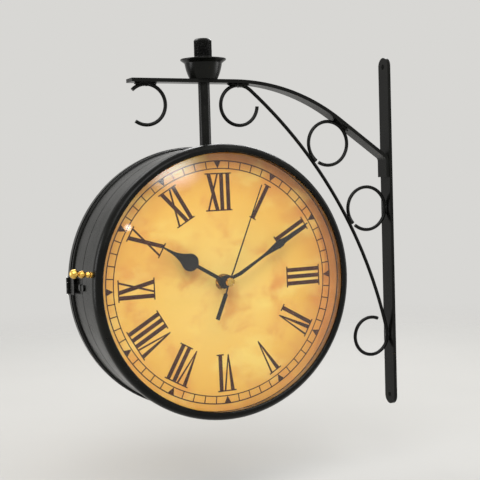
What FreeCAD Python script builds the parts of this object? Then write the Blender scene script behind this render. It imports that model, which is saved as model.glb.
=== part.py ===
import FreeCAD, Part
import math
import os

import Sketcher

# Double sided station clock hanging from a scrolled wall bracket.
# Lengths are in millimetres. Every piece is drawn about the stem axis at the height of the dial
# centre: X runs to the wall, Y into the drum from the front dial, Z up. The finished pieces are then
# moved so that the frame's origin lies on the wall, midway up the wall bar.

SIZES = {
    # bracket
    "wall_reach": 174,          # stem axis to the wall
    "bar_length": 306,
    "bar_width": 15,
    "bar_thick": 3,
    "bar_above": 21.5,          # bar's upper end above the level arm
    "bar_hole": 4.6,            # diameter of a wall screw hole
    "bar_hole_inset": 8,        # hole centre from the bar's end
    "arm_width": 14,
    "arm_thick": 3,
    "arm_free": 64,             # free end beyond the stem
    "arm_bend_start": 25,       # where the arm starts to bend down
    "arm_bend_radius": 170,
    "arm_slope": 35.5,          # degrees below level
    "arm_tab": 14,              # end of the arm turned down along the bar
    "arm_tab_bend": 4,
    "rod_radius": 1.5,
    "weld_sink": 0.3,           # how far a welded rod is fused into its neighbour
    "end_scroll_radius": 16.2,
    "end_scroll_back": 50.2,    # scroll centre beyond the stem
    "end_scroll_from": 135,
    "end_scroll_to": -125,
    "curl_radius": 16.5,
    "upper_curl_x": 31,
    "lower_curl_drop": 59,      # lower curl centre below the dial centre
    "brace_radius": 390,
    "upper_curl_end": -3,
    "lower_curl_end": 66,
    "ring_radius": 18.7,
    "ring_gap": 9,              # degrees left open beside the weld
    # stem
    "stem_length": 52.5,        # drum to the underside of the arm
    "stem_radius": 4.75,
    "stem_bore": 3.2,
    "rod_size": 3,              # radius of the threaded rod
    "running": 0.06,            # radial clearance of a running fit
    "rod_below": 12,            # rod end below the drum wall
    "rod_above": 24,            # rod end above the arm
    "cup_base": 11.2,
    "cup_shoulder": 15.3,
    "cup_rim": 18.6,
    "cup_lip": 3.4,             # flared lip, from the shoulder up
    "cup_height": 16.5,
    "cup_wall": 1.4,
    "cup_floor": 2,
    "nut_shank": 4.6,
    "nut_head": 7.3,
    "nut_head_height": 16,
    "nut_shank_height": 15,
    "washer_radius": 8,
    "washer_thick": 1.2,
    "hex_across": 10,
    "hex_height": 5,
    # drum
    "drum_radius": 108,
    "band_wall": 0.9,
    "band_half": 28,            # middle seam to the band's front edge
    "flange": 4.2,              # depth of the band's front flange
    "bead": 1.5,                # height of the rolled bead
    "bead_back": 1.6,           # bead centre behind the front edge
    "seam_chamfer": 0.6,
    "hoop_wall": 1.2,
    "hoop_half": 8,
    "band_screw": 1.5,          # radius
    "band_screw_head": 2.6,
    "band_screw_head_height": 1.2,
    "band_screw_row": 4,        # screw row from the seam
    "plate_thick": 0.8,
    "paper_thick": 0.2,
    "sheet_gap": 0.1,
    "clip_size": 6,
    "clip_width": 8,
    # door
    "bezel_over": 2,            # bezel beyond the drum
    "bezel_rim": 7.2,           # bezel's outside to its aperture
    "bezel_wall": 1,
    "bezel_depth": 11,
    "bezel_side": 4.4,          # straight side wall, from the back to where the rounding starts
    "door_gap": 0.2,
    "glass_rise": 12,
    "glass_thick": 1.6,
    "glass_lap": 4,             # glass and retainer behind the rim
    "lip_depth": 2.4,
    "retainer_lap": 1.1,
    "retainer_thick": 1.2,
    "skirt_wall": 0.8,          # the retainer's skirt, which hides the gap between glass and dial
    "hinge_stand": 1.6,         # pin axis beyond the bezel
    "knuckle": 1.4,
    "pin": 0.6,
    "hinge_half": 6.5,
    "knuckle_half": 2.5,
    "knuckle_gap": 0.2,
    "leaf_thick": 1,
    "knob_angle": 6.3,          # degrees above level, from the dial axis
    "knob_back": 2.4,           # knob axis in front of the door's rear edge
    "knob_length": 17.2,
    "knob_ball": 3.6,
    "knob_neck": 1.4,
    "knob_rivet": 1,
    # movement
    "case_margin": 3.5,         # case beyond the cell at each end
    "case_depth": 17,
    "case_wall": 1.6,
    "cover_thick": 1.2,
    "bush": 3.9,                # radius of the threaded bush
    "bush_length": 4.2,
    "dial_washer": 6.6,
    "dial_washer_thick": 0.5,
    "dial_nut_height": 2,
    "dial_nut_across": 10,
    "hour_pipe": 2.6,
    "minute_pipe": 1.75,
    "second_arbor": 0.6,
    "arbor": 0.5,
    "wheel_width": 1,
    "layer_pitch": 1.6,
    "train_module": 0.36,
    "centre_module": 0.34,
    "motion_module": 0.4,
    "train_bearing": 45,        # degrees, third wheel from the dial centre
    "motion_bearing": 150,
    "set_bearing": 120,
    "set_knob": 5,
    "set_knob_height": 3.5,
    "cell_radius": 7.1,
    "cell_length": 49,
    "cell_drop": 18.6,
    # hands
    "hand_thick": 0.6,
    "hour_out": 6.5,            # hour hand in front of the dial
    "minute_out": 10,
    "second_out": 12.6,
    "cap_out": 16,
    "cap_radius": 3.1,
    "hour_length": 62.5,
    "hour_hub": 5.6,
    "hour_stem": 1.4,
    "hour_ball": 7,
    "hour_ball_at": 35,
    "minute_length": 85.5,
    "minute_hub": 4.6,
    "minute_foot": 1.75,
    "minute_leaf": 3.5,
    "minute_leaf_at": 56.5,
    "second_length": 83,
    "second_tail": 30.5,
    "second_half": 0.6,
    "second_weight": 1.65,
    "hour_angle": -60,
    "minute_angle": 58.7,
    "second_angle": 22.8,
    "minute_lean": 1.6,         # degrees that the tip is bent towards the dial
    "second_lean": 2.6,
}

# what follows from the sizes above
DERIVED = {
    "arm_top": "drum_radius + stem_length + arm_thick",
    "bar_mid": "arm_top + bar_above - bar_length / 2",
    "flange_bore": "drum_radius - flange",
    "bezel_radius": "drum_radius + bezel_over",
    "aperture": "bezel_radius - bezel_rim",
    "glass_edge": "aperture + glass_lap",
    "retainer_bore": "aperture + retainer_lap",
    "retainer_rim": "bezel_radius - bezel_wall - 2 * door_gap",
    "hinge_out": "bezel_radius + hinge_stand",
    "case_side": "cell_length + 2 * case_margin",
}

TOOTH_COUNTS = {"second": 8, "third": 60, "third_pinion": 8, "centre": 64, "cannon": 12,
                "motion": 36, "motion_pinion": 10, "hour": 40, "set": 12, "drive": 40}

doc = FreeCAD.newDocument("station_clock")
sheet = doc.addObject("Spreadsheet::Sheet", "sizes")
contents = list(SIZES.items()) + [(alias, "=" + formula) for alias, formula in DERIVED.items()]
for row, (alias, content) in enumerate(contents, 1):
    sheet.set("A%d" % row, alias)
    sheet.set("B%d" % row, str(content))
    sheet.setAlias("B%d" % row, alias)
sheet.recompute()

worked_out = {}
nodes = {}
V = FreeCAD.Vector


# ---- the sheet ----

def cell(formula):
    """The cell that holds a formula of the sheet's names, written once."""
    if formula not in worked_out:
        worked_out[formula] = "D%d" % (len(worked_out) + 1)
        sheet.set(worked_out[formula], "=" + formula)
    return worked_out[formula]


def values(*formulas):
    cells = [cell(formula) for formula in formulas]
    sheet.recompute()
    return [float(sheet.get(name)) for name in cells]


def value(formula):
    return values(formula)[0]


def bind(thing, **formulas):
    """Tie properties to the sheet; a double underscore stands for a dot."""
    for name, formula in formulas.items():
        thing.setExpression(name.replace("__", "."), "sizes." + cell(formula))


def place(thing, x="0", y="0", z="0"):
    bind(thing, Placement__Base__x=x, Placement__Base__y=y, Placement__Base__z=z)


# ---- sketches ----

def anticlockwise(start, middle, end):
    """The arc through three points, and whether it runs from the first to the last."""
    centre = Part.Arc(start, middle, end).toShape().Curve.Center
    forward = (middle - start).cross(end - middle).z > 0
    first, last = (start, end) if forward else (end, start)
    low = math.atan2(first.y - centre.y, first.x - centre.x)
    high = math.atan2(last.y - centre.y, last.x - centre.x)
    if high < low:
        high += 2 * math.pi
    circle = Part.Circle(centre, V(0, 0, 1), (start - centre).Length)
    return Part.ArcOfCircle(circle, low, high), forward


def draw(sketch, path):
    """Closed outline. A corner is (x, y); with two more formulas, an arc through that point follows."""
    corners = [V(*values(*corner[:2]), 0) for corner in path]
    ends = []
    for i, corner in enumerate(path):
        start, end = corners[i], corners[(i + 1) % len(path)]
        forward = True
        if len(corner) > 2:
            edge, forward = anticlockwise(start, V(*values(*corner[2:]), 0), end)
        else:
            edge = Part.LineSegment(start, end)
        sketch.addGeometry(edge, False)
        ends.append((1, 2) if forward else (2, 1))
    for i in range(len(path)):
        after = (i + 1) % len(path)
        sketch.addConstraint(Sketcher.Constraint("Coincident", i, ends[i][1], after, ends[after][0]))
    for i, corner in enumerate(path):
        for kind, formula, number in zip(("DistanceX", "DistanceY"), corner, corners[i]):
            rule = sketch.addConstraint(Sketcher.Constraint(kind, i, ends[i][0], number))
            sketch.setExpression("Constraints[%d]" % rule, "sizes." + cell(formula))


def sketch_in(body, plane, path):
    sketch = body.newObject("Sketcher::SketchObject", body.Name + "_sketch")
    origin_plane = [f for f in body.Origin.OriginFeatures if f.Role == plane + "_Plane"][0]
    sketch.AttachmentSupport = [(origin_plane, "")]
    sketch.MapMode = "FlatFace"
    draw(sketch, path)
    return sketch


def turned(name, plane, path, axis="V_Axis"):
    """A body turned from a half section: in plane XY about the dial axis, in XZ about the stem axis."""
    body = doc.addObject("PartDesign::Body", name)
    sketch = sketch_in(body, plane, path)
    turn = body.newObject("PartDesign::Revolution", name + "_turn")
    turn.Profile = sketch
    turn.ReferenceAxis = (sketch, [axis])
    turn.Angle = 360
    return body


def cut_sheet(name, path, back, thick, lean="0"):
    """A body padded from an outline seen from the front, from depth back towards the viewer.

    Its upper end leans away from the viewer by lean degrees."""
    body = doc.addObject("PartDesign::Body", name)
    sketch = sketch_in(body, "XZ", path)
    sketch.AttachmentOffset = FreeCAD.Placement(V(), FreeCAD.Rotation(V(1, 0, 0), -value(lean)))
    bind(sketch, AttachmentOffset__Base__z="-(%s)" % back)
    pad = body.newObject("PartDesign::Pad", name + "_pad")
    pad.Profile = sketch
    bind(pad, Length=thick)
    return body


# ---- primitives and booleans ----

TURNS = {"Z": FreeCAD.Rotation(), "X": FreeCAD.Rotation(V(0, 1, 0), 90),
         "-X": FreeCAD.Rotation(V(0, 1, 0), -90), "-Y": FreeCAD.Rotation(V(1, 0, 0), 90),
         "-Z": FreeCAD.Rotation(V(1, 0, 0), 180)}


def rod(name, radius, length, x="0", y="0", z="0", along="-Y"):
    """Cylinder that starts at a point and runs along an axis."""
    thing = doc.addObject("Part::Cylinder", name)
    thing.Placement = FreeCAD.Placement(V(), TURNS[along])
    bind(thing, Radius=radius, Height=length)
    place(thing, x, y, z)
    return thing


def block(name, low, size):
    thing = doc.addObject("Part::Box", name)
    bind(thing, Length=size[0], Width=size[1], Height=size[2])
    place(thing, *low)
    return thing


def hexagon(name, across, height, x="0", y="0", z="0", along="-Y"):
    thing = doc.addObject("Part::Prism", name)
    thing.Polygon = 6
    thing.Placement = FreeCAD.Placement(V(), TURNS[along])
    bind(thing, Circumradius="(%s) / sqrt(3)" % across, Height=height)
    place(thing, x, y, z)
    return thing


def fused(name, *things):
    if len(things) == 1:
        return things[0]
    union = doc.addObject("Part::MultiFuse", name)
    union.Shapes = list(things)
    return union


def less(name, thing, *tools):
    rest = doc.addObject("Part::Cut", name)
    rest.Base = thing
    rest.Tool = fused(name + "_tools", *tools)
    return rest


def group(name, *things):
    compound = doc.addObject("Part::Compound", name)
    compound.Links = list(things)
    return compound


# ---- finished pieces ----

def finish(label, thing, spin=0, keep=True):
    """Move a piece to the wall frame, turned by spin degrees about its dial axis, and name it."""
    thing.Placement = FreeCAD.Placement(V(), FreeCAD.Rotation(V(0, 1, 0), spin))
    place(thing, "-wall_reach", "0", "-bar_mid")
    thing.Label = label
    if keep:
        nodes[label] = thing
    return thing


def turned_to_rear(label, front, keep=True):
    """The same piece on the other face of the drum, half a turn about the stem."""
    rear = group(label + "_copy", front)
    rear.Placement = FreeCAD.Placement(V(), FreeCAD.Rotation(V(0, 0, 1), 180))
    place(rear, "-2 * wall_reach")
    rear.Label = label
    if keep:
        nodes[label] = rear
    return rear


def both_faces(name, thing, spin=0):
    front = finish("front_" + name, thing, spin)
    turned_to_rear("rear_" + name, front)


def shared(name, thing):
    """Both faces' copies of a small piece, kept as one group."""
    front = finish(name + "_in_front", thing, keep=False)
    rear = turned_to_rear(name + "_behind", front, keep=False)
    both = group(name + "_group", front, rear)
    both.Label = name
    nodes[name] = both


# ---- bent rods of the bracket ----

def point_at(centre, radius, degrees):
    angle = math.radians(degrees)
    return centre + V(radius * math.cos(angle), 0, radius * math.sin(angle))


def bearing(centre, point):
    return math.degrees(math.atan2(point.z - centre.z, point.x - centre.x))


def clockwise_arc(centre, radius, start, sweep):
    """Edge that runs clockwise, seen from the front, from bearing start through sweep degrees."""
    return Part.Arc(*[point_at(centre, radius, start - sweep * part) for part in (0, 0.5, 1)]).toShape()


def meeting(first, first_radius, second, second_radius, side):
    """Point at given distances from two centres; side +1 is left of the way from first to second."""
    way = second - first
    apart = way.Length
    along = (apart ** 2 + first_radius ** 2 - second_radius ** 2) / (2 * apart)
    off = math.sqrt(first_radius ** 2 - along ** 2)
    way.normalize()
    return first + way * along + V(-way.z, 0, way.x) * off * side


def bent_rod(label, edges):
    """Round rod swept along its centre line."""
    line = doc.addObject("Part::Feature", label + "_line")
    line.Shape = Part.Wire(edges)
    start = edges[0].valueAt(edges[0].FirstParameter)
    heading = edges[0].tangentAt(edges[0].FirstParameter)
    section = doc.addObject("Part::Circle", label + "_section")
    section.Placement = FreeCAD.Placement(start, FreeCAD.Rotation(V(0, 0, 1), heading))
    bind(section, Radius="rod_radius")
    sweep = doc.addObject("Part::Sweep", label + "_sweep")
    sweep.Sections = [section]
    sweep.Spine = (line, ["Edge%d" % (i + 1) for i in range(len(edges))])
    sweep.Solid = True
    sweep.Frenet = False
    return finish(label, sweep)


def bracket_scrolls():
    rod_radius, sink = values("rod_radius", "weld_sink")
    under_arm, bar_face = values("arm_top - arm_thick", "wall_reach - bar_thick")
    touch = rod_radius - sink

    radius, back, start, end = values("end_scroll_radius", "end_scroll_back", "end_scroll_from",
                                      "end_scroll_to")
    centre = V(-back, 0, under_arm - touch - radius)
    bent_rod("arm_end_scroll", [clockwise_arc(centre, radius, start, start - end)])

    curl, upper_x, drop, brace = values("curl_radius", "upper_curl_x", "lower_curl_drop",
                                        "brace_radius")
    first_end, last_end = values("upper_curl_end", "lower_curl_end")
    upper = V(upper_x, 0, under_arm - touch - curl)
    lower = V(bar_face - touch - curl, 0, -drop)
    bow = meeting(upper, brace - curl, lower, brace - curl, -1)
    leave, arrive = bearing(bow, upper), bearing(bow, lower)
    bent_rod("brace_scroll", [
        clockwise_arc(upper, curl, first_end, first_end + 360 - leave),
        clockwise_arc(bow, brace, leave, leave - arrive),
        clockwise_arc(lower, curl, arrive, arrive + 360 - last_end)])

    ring, gap, bend, bend_x, thick, top = values("ring_radius", "ring_gap", "arm_bend_radius",
                                                 "arm_bend_start", "arm_thick", "arm_top")
    arm_centre = V(bend_x, 0, top - bend)
    brace_touch = brace + ring + 2 * rod_radius - sink
    upper_ring = meeting(arm_centre, bend - thick - touch - ring, bow, brace_touch, -1)
    ring_x = bar_face - touch - ring
    lower_ring = V(ring_x, 0, bow.z + math.sqrt(brace_touch ** 2 - (ring_x - bow.x) ** 2))
    for label, centre in (("upper_ring", upper_ring), ("lower_ring", lower_ring)):
        weld = bearing(centre, bow)
        bent_rod(label, [clockwise_arc(centre, ring, weld + gap * 1.5 + 360, 360 - gap)])


# ---- strips of the bracket ----

def wall_bar():
    half_length, half_width = "bar_length / 2", "bar_width / 2"
    shoulder = "bar_length / 2 - bar_width / 2"
    body = doc.addObject("PartDesign::Body", "wall_bar_body")
    sketch = sketch_in(body, "YZ", [
        ("-(%s)" % half_width, "bar_mid - (%s)" % shoulder, "0", "bar_mid - (%s)" % half_length),
        (half_width, "bar_mid - (%s)" % shoulder),
        (half_width, "bar_mid + %s" % shoulder, "0", "bar_mid + %s" % half_length),
        ("-(%s)" % half_width, "bar_mid + %s" % shoulder)])
    bind(sketch, AttachmentOffset__Base__z="wall_reach - bar_thick")
    pad = body.newObject("PartDesign::Pad", "wall_bar_pad")
    pad.Profile = sketch
    bind(pad, Length="bar_thick")
    holes = [rod("wall_bar_hole_%d" % i, "bar_hole / 2", "bar_thick + 2", "wall_reach - bar_thick - 1",
                 "0", "bar_mid %s (bar_length / 2 - bar_hole_inset)" % sign, "X")
             for i, sign in enumerate("+-")]
    finish("wall_bar", less("wall_bar_bored", body, *holes))


def top_arm():
    """Flat strip: level, bent down, straight to the bar, then turned down along the bar."""
    free, start, top, thick, radius, slope, tab, fold, face = values(
        "arm_free", "arm_bend_start", "arm_top", "arm_thick", "arm_bend_radius", "arm_slope",
        "arm_tab", "arm_tab_bend", "wall_reach - bar_thick")
    angle = math.radians(slope)
    centre = V(start, 0, top - radius)
    edges = []
    for offset in (0, thick):
        bend = radius - offset
        level, level_end = V(-free, 0, top - offset), V(start, 0, top - offset)
        middle, slope_start = point_at(centre, bend, 90 - slope / 2), point_at(centre, bend, 90 - slope)
        turn = fold + thick - offset
        fold_centre = V(face - thick - fold, 0, 0)
        reach = fold_centre.x + turn * math.sin(angle) - slope_start.x
        slope_end = slope_start + V(reach, 0, -reach * math.tan(angle))
        fold_centre.z = slope_end.z - turn * math.cos(angle)
        corner = point_at(fold_centre, turn, (90 - slope) / 2)
        tab_start = fold_centre + V(turn, 0, 0)
        edges.append([Part.LineSegment(level, level_end).toShape(),
                      Part.Arc(level_end, middle, slope_start).toShape(),
                      Part.LineSegment(slope_start, slope_end).toShape(),
                      Part.Arc(slope_end, corner, tab_start).toShape(),
                      Part.LineSegment(tab_start, V(tab_start.x, 0, fold_centre.z - tab)).toShape()])
    ends = [Part.LineSegment(edges[0][i].Vertexes[i].Point, edges[1][i].Vertexes[i].Point).toShape()
            for i in (0, -1)]
    face_shape = Part.Face(Part.Wire(Part.__sortEdges__(edges[0] + edges[1] + ends)))
    width = value("arm_width")
    strip = doc.addObject("Part::Feature", "top_arm_strip")
    strip.Shape = face_shape.extrude(V(0, width, 0))
    place(strip, y="-arm_width / 2")
    hole = rod("top_arm_hole", "rod_size + running", "arm_thick + 2", z="arm_top + 1", along="-Z")
    finish("top_arm", less("top_arm_bored", strip, hole))


# ---- stem ----

def stem():
    tube = rod("stem_tube_outside", "stem_radius", "arm_top - arm_thick - drum_radius",
               z="drum_radius", along="Z")
    bore = rod("stem_tube_bore", "stem_bore", "arm_top - drum_radius", z="drum_radius - 1", along="Z")
    finish("stem_tube", less("stem_tube_bored", tube, bore))
    finish("stem_rod", rod("stem_rod_bar", "rod_size", "arm_top + rod_above - drum_radius + rod_below",
                           z="drum_radius - rod_below", along="Z"))

    washer_top = "sqrt((drum_radius - band_wall - hoop_wall)^2 - washer_radius^2)"
    washer = rod("stem_washer_disc", "washer_radius", "washer_thick", z=washer_top, along="-Z")
    washer_bore = rod("stem_washer_bore", "rod_size", "washer_thick + 2", z=washer_top + " + 1",
                      along="-Z")
    finish("stem_washer", less("stem_washer_bored", washer, washer_bore))
    nut = hexagon("stem_nut_blank", "hex_across", "hex_height", z=washer_top + " - washer_thick",
                  along="-Z")
    nut_bore = rod("stem_nut_bore", "rod_size", "hex_height + 2",
                   z=washer_top + " - washer_thick + 1", along="-Z")
    finish("stem_nut", less("stem_nut_bored", nut, nut_bore))

    base, rim, floor = "arm_top", "arm_top + cup_height", "arm_top + cup_floor"
    shoulder, middle = rim + " - cup_lip", base + " + (cup_height - cup_lip) / 2"
    belly = "(cup_base + cup_shoulder) / 2 + 0.6"
    bore = "rod_size + running"
    finish("stem_cup", turned("stem_cup_body", "XZ", [
        (bore, base),
        ("cup_base", base, belly, middle),
        ("cup_shoulder", shoulder),
        ("cup_rim", rim + " - 0.9"),
        ("cup_rim", rim),
        ("cup_rim - cup_wall", rim),
        ("cup_shoulder - cup_wall", shoulder, belly + " - cup_wall", middle),
        ("cup_base - cup_wall", floor),
        (bore, floor)]))

    foot, head = floor, floor + " + nut_shank_height"
    top = head + " + nut_head_height"
    finish("clamp_nut", turned("clamp_nut_body", "XZ", [
        (bore, foot),
        ("nut_shank", foot),
        ("nut_shank", head),
        ("nut_head - 0.6", head),
        ("nut_head", head + " + 0.6"),
        ("nut_head", top + " - 1.6"),
        ("nut_head - 1.6", top),
        ("0", top),
        ("0", "arm_top + rod_above + 1"),
        (bore, "arm_top + rod_above + 1")]))


# ---- drum ----

def screw_places(row):
    """Start and direction of the radial screws of one row, at the three, six and nine."""
    return [("drum_radius", row, "0", "-X"), ("-drum_radius", row, "0", "X"),
            ("0", row, "-drum_radius", "Z")]


def outward(start, amount):
    """A screw's start moved away from the drum axis by a formula."""
    return [part.replace("drum_radius", "(drum_radius + %s)" % amount) for part in start]


def drum():
    edge, wall = "-band_half", "band_wall"
    inside = "drum_radius - band_wall"
    bead_mid = "-band_half + bead_back"
    band = turned("band_body", "XY", [
        (inside, "0"),
        ("drum_radius - seam_chamfer", "0"),
        ("drum_radius", "-seam_chamfer"),
        ("drum_radius", bead_mid + " + bead", "drum_radius + bead", bead_mid),
        ("drum_radius", bead_mid + " - bead"),
        ("drum_radius", edge),
        ("flange_bore", edge),
        ("flange_bore", edge + " + " + wall),
        (inside, edge + " + " + wall)])
    stem_hole = rod("band_stem_hole", "stem_bore", "20", z="drum_radius - 10", along="Z")
    holes = [rod("band_hole_%d" % i, "band_screw", "6", *outward(start[:3], "2"), start[3])
             for i, start in enumerate(screw_places("-band_screw_row"))]
    both_faces("band", less("band_bored", band, stem_hole, *holes))

    hoop_in = "drum_radius - band_wall - hoop_wall"
    hoop = turned("hoop_body", "XY", [(hoop_in, "-hoop_half"), (inside, "-hoop_half"),
                                      (inside, "hoop_half"), (hoop_in, "hoop_half")])
    hoop_stem = rod("hoop_stem_hole", "stem_bore", "20", z="drum_radius - 10", along="Z")
    starts = screw_places("-band_screw_row") + screw_places("band_screw_row")
    hoop_holes = [rod("hoop_hole_%d" % i, "band_screw", "8", *outward(start[:3], "2"), start[3])
                  for i, start in enumerate(starts)]
    finish("seam_hoop", less("hoop_bored", hoop, hoop_stem, *hoop_holes))

    screws = []
    for i, start in enumerate(starts):
        head = rod("band_screw_head_%d" % i, "band_screw_head", "band_screw_head_height",
                   *outward(start[:3], "band_screw_head_height"), start[3])
        shank = rod("band_screw_shank_%d" % i, "band_screw", "band_wall + hoop_wall + 2.5", *start)
        screws.append(fused("band_screw_%d" % i, head, shank))
    finish("band_screws", group("band_screw_set", *screws))

    plate_face = edge + " + " + wall
    disc = rod("dial_plate_disc", "drum_radius - band_wall - sheet_gap", "plate_thick",
               y=plate_face + " + plate_thick")
    disc_hole = rod("dial_plate_hole", "bush", "plate_thick + 2", y=plate_face + " + plate_thick + 1")
    both_faces("dial_plate", less("dial_plate_bored", disc, disc_hole))
    paper = rod("dial_paper_disc", "flange_bore - sheet_gap", "paper_thick", y=plate_face)
    paper_hole = rod("dial_paper_hole", "bush", "paper_thick + 2", y=plate_face + " + 1")
    both_faces("dial_paper", less("dial_paper_bored", paper, paper_hole))

    back = plate_face + " + plate_thick"
    clips = []
    for i, degrees in enumerate((30, 150, 270)):
        foot = block("clip_foot_%d" % i, (inside + " - 0.3 - clip_size", back, "-clip_width / 2"),
                     ("clip_size", "1", "clip_width"))
        leg = block("clip_leg_%d" % i, (inside + " - 1.3", back, "-clip_width / 2"),
                    ("1", "clip_size", "clip_width"))
        clip = fused("clip_%d" % i, foot, leg)
        clip.Placement = FreeCAD.Placement(V(), FreeCAD.Rotation(V(0, 1, 0), degrees))
        clips.append(clip)
    shared("dial_clips", group("dial_clip_set", *clips))


# ---- doors ----

def doors():
    back = "-(band_half + door_gap)"
    face = back + " - bezel_depth"
    wall = "bezel_wall"
    lip = face + " + lip_depth"
    shoulder = back + " - bezel_side"
    knob_turn = value("knob_angle")
    drill = group("bezel_knob_drill", rod("bezel_knob_hole", "knob_rivet", "12", "-bezel_radius - 4",
                                          back + " - knob_back", "0", "X"))
    drill.Placement = FreeCAD.Placement(V(), FreeCAD.Rotation(V(0, 1, 0), knob_turn))
    both_faces("bezel", less("bezel_bored", turned("bezel_body", "XY", [
        ("bezel_radius", back),
        ("bezel_radius", shoulder, "bezel_radius - 1.02", shoulder + " - 3.8"),
        ("bezel_radius - 3.8", face),
        ("aperture + 1.5", face, "aperture + 0.45", face + " + 0.45"),
        ("aperture", face + " + 1.5"),
        ("aperture", lip),
        ("aperture + " + wall, lip),
        ("aperture + " + wall, face + " + 1.5", "aperture + 1.3", face + " + 1.2"),
        ("aperture + 1.7", face + " + " + wall),
        ("bezel_radius - 4.1", face + " + " + wall, "bezel_radius - 1.9", shoulder + " - 3.3"),
        ("bezel_radius - " + wall, shoulder),
        ("bezel_radius - " + wall, back)]), drill))

    # the glass lies against the back of the lip
    ball = "(aperture^2 + glass_rise^2) / (2 * glass_rise)"
    middle = "(%s - glass_rise + %s)" % (lip, ball)
    outer_edge = "%s - sqrt((%s)^2 - glass_edge^2)" % (middle, ball)
    inner_edge = "%s - sqrt((%s - glass_thick)^2 - glass_edge^2)" % (middle, ball)
    halfway = "glass_edge / 2"
    both_faces("glass", turned("glass_body", "XY", [
        ("0", lip + " - glass_rise", halfway, "%s - sqrt((%s)^2 - (%s)^2)" % (middle, ball, halfway)),
        ("glass_edge", outer_edge),
        ("glass_edge", inner_edge, halfway,
         "%s - sqrt((%s - glass_thick)^2 - (%s)^2)" % (middle, ball, halfway)),
        ("0", lip + " - glass_rise + glass_thick")]))
    seat = "(%s)" % inner_edge
    both_faces("glass_retainer", turned("retainer_body", "XY", [
        ("retainer_bore", seat), ("retainer_rim", seat),
        ("retainer_rim", seat + " + retainer_thick"),
        ("retainer_bore + skirt_wall", seat + " + retainer_thick"),
        ("retainer_bore + skirt_wall", back + " - door_gap"),
        ("retainer_bore", back + " - door_gap")]))

    hinge(back)

    # turned brass pull riveted to the side of the bezel; drawn from its foot outwards
    ball_at = "knob_ball - knob_length"
    knob = turned("knob_body", "XY", [
        (wall, "0"), (wall, "knob_rivet"), ("0", "knob_rivet"), ("0", "2.4"),
        ("-0.9", "2.4"),
        ("-0.9", "1.9", "-2.6", "2.2"),
        ("-4.2", "1.7"),
        ("-4.2", "knob_neck"),
        ("-4.8", "knob_neck"),
        ("-4.8", "1.7", "-7.4", "2.85"),
        ("-10", "1.7"),
        ("-10", "knob_neck"),
        (ball_at + " + sqrt(knob_ball^2 - knob_neck^2)", "knob_neck", ball_at, "knob_ball"),
        ("-knob_length", "0")], axis="H_Axis")
    place(knob, "-bezel_radius", back + " - knob_back")
    both_faces("door_knob", group("knob_place", knob), knob_turn)


def hinge(back):
    """Three-knuckle hinge beside the three: the case leaf has two knuckles, the door leaf one."""
    axis_x, axis_y = "hinge_out", "-band_half - door_gap / 2"
    reach = "knuckle + knuckle_gap"
    case_start = "knuckle_half + knuckle_gap"
    case_span = "hinge_half - knuckle_half - knuckle_gap"
    bore = ("pin", "hinge_half * 2 + 2", axis_x, axis_y, "-hinge_half - 1", "Z")

    plate = block("case_leaf_plate", ("drum_radius + bead + 0.3", axis_y + " + " + reach, "-hinge_half"),
                  ("leaf_thick", "12", "hinge_half * 2"))
    foot = block("case_leaf_foot", ("drum_radius - 0.3", axis_y + " + 6", "-2"),
                 ("bead + 0.6 + leaf_thick", "8", "4"))
    case = [plate, foot]
    for i, low in enumerate(("-hinge_half", case_start)):
        case.append(rod("case_knuckle_%d" % i, "knuckle", case_span, axis_x, axis_y, low, "Z"))
        case.append(block("case_arm_%d" % i, ("drum_radius + bead + 0.3", axis_y, low),
                          ("hinge_out - drum_radius - bead - 0.3", reach, case_span)))
    shared("case_hinge_leaves",
           less("case_leaf_bored", fused("case_leaf", *case), rod("case_leaf_bore", *bore)))
    shared("hinge_pins", fused(
        "hinge_pin", rod("hinge_pin_bar", *bore),
        rod("hinge_pin_head", "pin + 0.7", "1", axis_x, axis_y, "hinge_half", "Z")))

    door_plate = block("door_leaf_plate", ("bezel_radius - 0.3", back + " - 3.4", "-hinge_half"),
                       ("leaf_thick + 0.3", "1.4", "hinge_half * 2"))
    door_arm = block("door_leaf_arm", ("bezel_radius", back + " - 3.4", "-knuckle_half"),
                     ("hinge_out - bezel_radius", "3.4", "knuckle_half * 2"))
    knuckle = rod("door_knuckle", "knuckle", "knuckle_half * 2", axis_x, axis_y, "-knuckle_half", "Z")
    door_bore = rod("door_leaf_bore", "pin + running", "hinge_half * 2", axis_x, axis_y, "-hinge_half",
                    "Z")
    both_faces("door_leaf", less("door_leaf_bored",
                                 fused("door_leaf", door_plate, door_arm, knuckle), door_bore))


# ---- movements ----

DIAL = "(-band_half + band_wall - paper_thick)"
CASE_FRONT = "(-band_half + band_wall + plate_thick)"
CASE_BACK = "(%s + case_depth)" % CASE_FRONT
INNER_FRONT = "(%s + case_wall)" % CASE_FRONT


def layer(number):
    """Front face of a wheel layer, counted back from the inside of the movement's front wall."""
    return "(%s + 0.4 + layer_pitch * %d)" % (INNER_FRONT, number)


def bearing_place(distance, degrees, x="0", z="0"):
    return ("%s + (%s) * cos(%s * 1deg)" % (x, distance, degrees),
            "%s + (%s) * sin(%s * 1deg)" % (z, distance, degrees))


def toothed(name, teeth, module, x, y, z, tooth_at):
    """Flat toothed wheel whose back lies one width behind y, with a tooth at bearing tooth_at."""
    size, width = values(module, "wheel_width")
    pitch = size * teeth / 2
    step = 2 * math.pi / teeth
    corners = []
    for tooth in range(round(teeth)):
        middle = math.radians(tooth_at) + tooth * step
        for radius, share in ((pitch - size, -0.29), (pitch + 0.75 * size, -0.12),
                              (pitch + 0.75 * size, 0.12), (pitch - size, 0.29)):
            angle = middle + share * step
            corners.append(V(radius * math.cos(angle), 0, radius * math.sin(angle)))
    wheel = doc.addObject("Part::Feature", name)
    wheel.Shape = Part.Face(Part.makePolygon(corners + corners[:1])).extrude(V(0, width, 0))
    place(wheel, x, y, z)
    return wheel


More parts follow.
